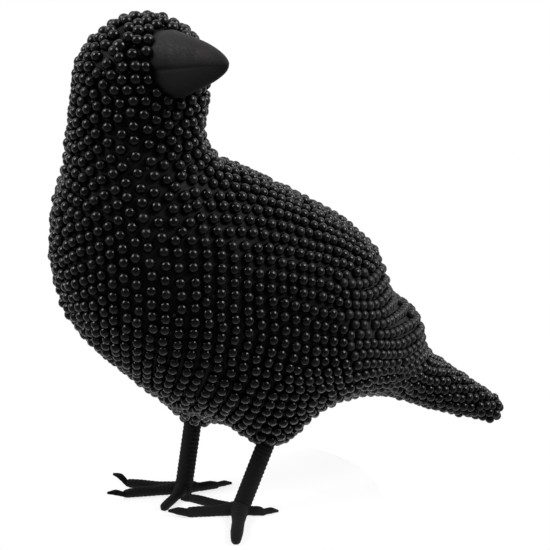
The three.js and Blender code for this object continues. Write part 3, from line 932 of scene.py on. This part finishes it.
EYE_FINISH = polished_eye_bead()
eye_ball, eye_faces = cube_ball(10)
for side, place in EYES.items():
    ball = eye_ball * EYE_RADIUS + place
    add_piece(f"eye_bead_{side}", [(ball, eye_faces)], EYE_FINISH, "eye", f"eye_{side}")

# %% [markdown]
# ## Legs of wound wire
# The legs and toes are wire wound with thin black cord or tape. A tube along a smooth path is the wire, and
# the winding is a helix of small ridges: the surface stands out where the way along the tube minus the turn
# around it hits the middle of a ridge. Everything under the ground is pressed flat to it, as the sole is.

# %% Winding tools
WIND = 2.1                             # from one turn of the winding to the next
SHANK_RIDGE, TOE_RIDGE = 0.45, 0.3
TOE_SUNK = 0.85                        # height of a toe's middle line, in toe radii
TOE_TIP_RADIUS = 0.6                   # at the end of a claw


def wound_tube(places, radii, depth, around=28, per_mm=3.2):
    """Tube along a path through places. Rings stand every third of a millimetre, each at a right angle to the
    path; the radius follows radii, and a helix of ridges adds up to depth."""
    places = np.array(places, float)
    reach = np.concatenate([[0], np.cumsum(np.linalg.norm(np.diff(places, axis=0), axis=1))])
    s = np.linspace(0, reach[-1], max(8, int(reach[-1] * per_mm)))
    knots = np.interp(s, reach, np.arange(len(places)))
    path = np.stack([through(places[:, k], knots) for k in range(3)], -1)
    radius = np.interp(s, reach, radii)
    ahead = unit(np.gradient(path, axis=0))
    across = np.cross(ahead, [0.0, 0.0, 1.0])
    across = unit(np.where(np.linalg.norm(across, axis=1, keepdims=True) < 0.3, [1.0, 0.0, 0.0], across))
    across = unit(across - (across * ahead).sum(1, keepdims=True) * ahead)
    up = np.cross(across, ahead)
    turn = np.linspace(0, 2 * np.pi, around + 1)[:-1]
    ridge = np.abs(np.sin(np.pi * (s[:, None] / WIND - turn[None] / (2 * np.pi))))
    fade = np.clip(radius / radius.max() - 0.25, 0, 1)[:, None]
    r = radius[:, None] + depth * (ridge - 0.64) * fade
    rings = path[:, None] + r[..., None] * (np.cos(turn)[None, :, None] * across[:, None]
                                            + np.sin(turn)[None, :, None] * up[:, None])
    rings[..., 2] = np.maximum(rings[..., 2], 0)
    return closed_rings(rings, np.maximum(path[0], [-999, -999, 0]), path[-1])


def toe_tube(foot, heading, reach, claw, turn, tip, radii):
    """A toe: a fat wound part that lies on the ground, a knuckle, and a thinner claw that turns aside and
    ends in a blunt point at its own height."""
    root, middle, knuckle, start, bent = radii
    out, hook = ([math.sin(math.radians(h)), -math.cos(math.radians(h)), 0] for h in (heading, heading + turn))
    line = [np.array([*foot, r * TOE_SUNK]) + np.array(out) * reach * share
            for share, r in ((0, root), (0.45, middle), (0.8, middle), (1, knuckle))]
    end = line[-1]
    claw_line = [end + np.array(hook) * 1.4, end + np.array(hook) * claw * 0.55, end + np.array(hook) * claw]
    claw_line[1][2] = max(end[2] + (tip - end[2]) * 0.75, bent)
    claw_line[2][2] = tip
    line_radii = [root, middle, middle, knuckle, start, bent, TOE_TIP_RADIUS]
    return wound_tube(line + claw_line, line_radii, TOE_RIDGE)


# %% [markdown]
# The cord is matt and almost black, and its threads are too fine to see at this distance, so the bump is
# drawn as 0.4 mm threads. The shank runs on into the body. A ball joins shank and toes.

# %% Winding material


def wound_cord():
    """Matt black cord: no highlight, a fine thread grain, a little grey dust in patches."""
    material, tree, shader, where = new_material("wound_cord")
    dust = add(tree, "ShaderNodeTexNoise", {"Vector": where}, {"Scale": 260.0, "Detail": 4.0})
    colour = add(tree, "ShaderNodeValToRGB", {"Fac": dust}, ramp=[(0.35, "#0b0b0c"), (0.75, "#141415")])
    thread_grain = add(tree, "ShaderNodeTexNoise", {"Vector": where}, {"Scale": 2500.0, "Detail": 2.0})
    bump = add(tree, "ShaderNodeBump", {"Height": thread_grain}, {"Strength": 0.4, "Distance": 0.0003})
    rough = add(tree, "ShaderNodeMapRange", {"Value": dust},
                {"From Min": 0.3, "From Max": 0.7, "To Min": 0.78, "To Max": 0.92})
    feed(tree, shader, {"Base Color": colour, "Roughness": rough,
                        "Normal": bump}, {"Specular IOR Level": 0.3})
    return material


CORD = wound_cord()

# %% Leg meshes
SHANK_IN_BODY, ANKLE_RADIUS = 9, 5
# heading, length to the knuckle, claw, how far the claw turns, height of its tip, radii from root to claw
TOES = {
    "left": [
        (-55, 28.8, 5, 33, 1.4, [2.8, 2.3, 2, 1.9, 1.6]),
        (-19.5, 24.7, 10.6, 0, 3.6, [3.9, 2.7, 2.6, 2, 1.9]),
        (61.8, 30.5, 3.8, 1, 2, [4.6, 3.1, 2.5, 2.2, 1.8]),
        (147.6, 11.2, 8.2, 28, 0.6, [4.4, 2.4, 1.9, 1.6, 1.6])],
    "right": [
        (-39.3, 28.9, 8.6, 3, 6.4, [3.2, 2.4, 2.2, 1.4, 1.6]),
        (-15.5, 29.2, 9.7, 12, 4, [3.7, 2.6, 2.1, 1.3, 1.5]),
        (41.8, 21.8, 3.2, 3, 2, [4.2, 2.3, 2.2, 1.4, 1]),
        (171.5, 17, 9, 12, 0.6, [4.2, 2.3, 1.9, 1.4, 1.5])],
}
for side, knee in KNEES.items():
    foot = np.array([*FEET[side], ANKLE_HEIGHT])
    top = knee + unit(knee - foot) * SHANK_IN_BODY
    parts = [wound_tube([foot, (foot + knee) / 2, knee, top], [SHANK_RADIUS] * 4, SHANK_RIDGE, around=40)]
    parts += [toe_tube(FEET[side], *toe) for toe in TOES[side]]
    ankle = eye_ball * ANKLE_RADIUS + foot
    ankle[:, 2] = np.maximum(ankle[:, 2], 0)
    parts.append((ankle, eye_faces))
    add_piece(f"wound_leg_{side}", parts, CORD, "leg_wrap", f"leg_{side}")

# %% [markdown]
# ## A plain white studio
# The camera stands on the bird's left, a little in front, and looks slightly down. Two broad lamps hang high
# on both sides of it. Each shows as one dot on every bead, so the dots give away where the lamps are. Lamps
# infinitely far away, with a wide disc, put the dots at the same place on all beads. The room is light behind
# and below the bird and dim elsewhere: beads near the outline get grey rims, each bead gets a grey crescent
# along its foot, and what faces the camera stays black. The camera itself sees plain white. Only a small
# round of table is needed under the feet, pale enough to wash out against the white.

# %% Camera
TURNED, TILTED = 64, 17
FOCAL, SENSOR = 1400 / 550, 36         # the focal length is given in frame widths
CAMERA_PLACE = np.array([586.4, -250.6, 314.0])
camera_data = bpy.data.cameras.new("camera")
camera_data.sensor_fit = "HORIZONTAL"
camera_data.sensor_width = SENSOR
camera_data.lens = FOCAL * SENSOR
camera = new_object("camera", camera_data)
camera.location = ((CAMERA_PLACE + SHIFT) * MM).tolist()
camera.rotation_euler = (math.radians(90 - TILTED), 0, math.radians(TURNED))
bpy.context.scene.camera = camera
print("camera", round(float(np.linalg.norm(CAMERA_PLACE))), "mm from the feet")

# %% Lamps
LAMP_UP, LAMP_NEAR, LAMP_DISC = 0.56, 0.36, 34    # seen from the camera; the disc is an angle in degrees
camera_turn = camera.rotation_euler.to_matrix()
for name, across, power in (("lamp_left", -0.7, 1.5), ("lamp_right", 0.7, 1.65)):
    lamp = bpy.data.lights.new(name, "SUN")
    lamp.energy = power
    lamp.angle = math.radians(LAMP_DISC)
    holder = new_object(name, lamp)
    lamp_way = camera_turn @ Vector((across, LAMP_UP, LAMP_NEAR))
    holder.rotation_euler = lamp_way.to_track_quat("Z", "Y").to_euler()

# %% Table material


def pale_table():
    """A pale, evenly lit table: matt, with a little light of its own so that the shadows stay faint."""
    material, tree, shader, where = new_material("pale_table")
    grain = add(tree, "ShaderNodeTexNoise", {"Vector": where}, {"Scale": 40.0, "Detail": 2.0})
    colour = add(tree, "ShaderNodeValToRGB", {"Fac": grain}, ramp=[(0, "#a8a8a8"), (1, "#b0b0b0")])
    feed(tree, shader, {"Base Color": colour},
         {"Roughness": 0.9, "Specular IOR Level": 0.0, "Emission Color": (1, 1, 1, 1),
          "Emission Strength": 0.75})
    return material


# %% A round of table
TABLE_RADIUS, TABLE_AHEAD = 0.065, 0.025          # metres
rim = np.linspace(0, 2 * np.pi, 129)[:-1]
table = np.stack([TABLE_RADIUS * np.cos(rim), TABLE_RADIUS * np.sin(rim) - TABLE_AHEAD, 0 * rim], -1)
floor_mesh = bpy.data.meshes.new("floor")
floor_mesh.from_pydata(table.tolist(), [], [range(len(table))])
floor_mesh.materials.append(pale_table())
floor = new_object("floor", floor_mesh)

# %% The room
BEHIND = (-0.85, 0.42, 0.32)           # from the camera past the bird, and up
world = bpy.data.worlds.new("studio")
bpy.context.scene.world = world
world.use_nodes = True
sky = world.node_tree
sky.nodes.clear()
seen = add(sky, "ShaderNodeLightPath").outputs["Is Camera Ray"]
bright = add(sky, "ShaderNodeBackground", values={"Color": (1, 1, 1, 1), "Strength": 1.0})
towards = add(sky, "ShaderNodeTexCoord").outputs["Generated"]
behind = add(sky, "ShaderNodeVectorMath", {0: towards}, {1: BEHIND}, operation="DOT_PRODUCT")
room = add(sky, "ShaderNodeMapRange", {"Value": behind},
           {"From Min": -0.3, "From Max": 0.8, "To Min": 0.09, "To Max": 0.7})
height = add(sky, "ShaderNodeSeparateXYZ", {"Vector": towards}).outputs["Z"]
below = add(sky, "ShaderNodeMapRange", {"Value": height},
            {"From Min": -0.15, "From Max": -0.95, "To Min": 0.0, "To Max": 0.26})
light = add(sky, "ShaderNodeMath", {0: room, 1: below}, operation="ADD")
dim = add(sky, "ShaderNodeBackground", {"Strength": light}, {"Color": (1, 1, 1, 1)})
both = add(sky, "ShaderNodeMixShader", {0: seen, 1: dim, 2: bright})
add(sky, "ShaderNodeOutputWorld", {"Surface": both})
bpy.context.scene.view_settings.view_transform = "Standard"
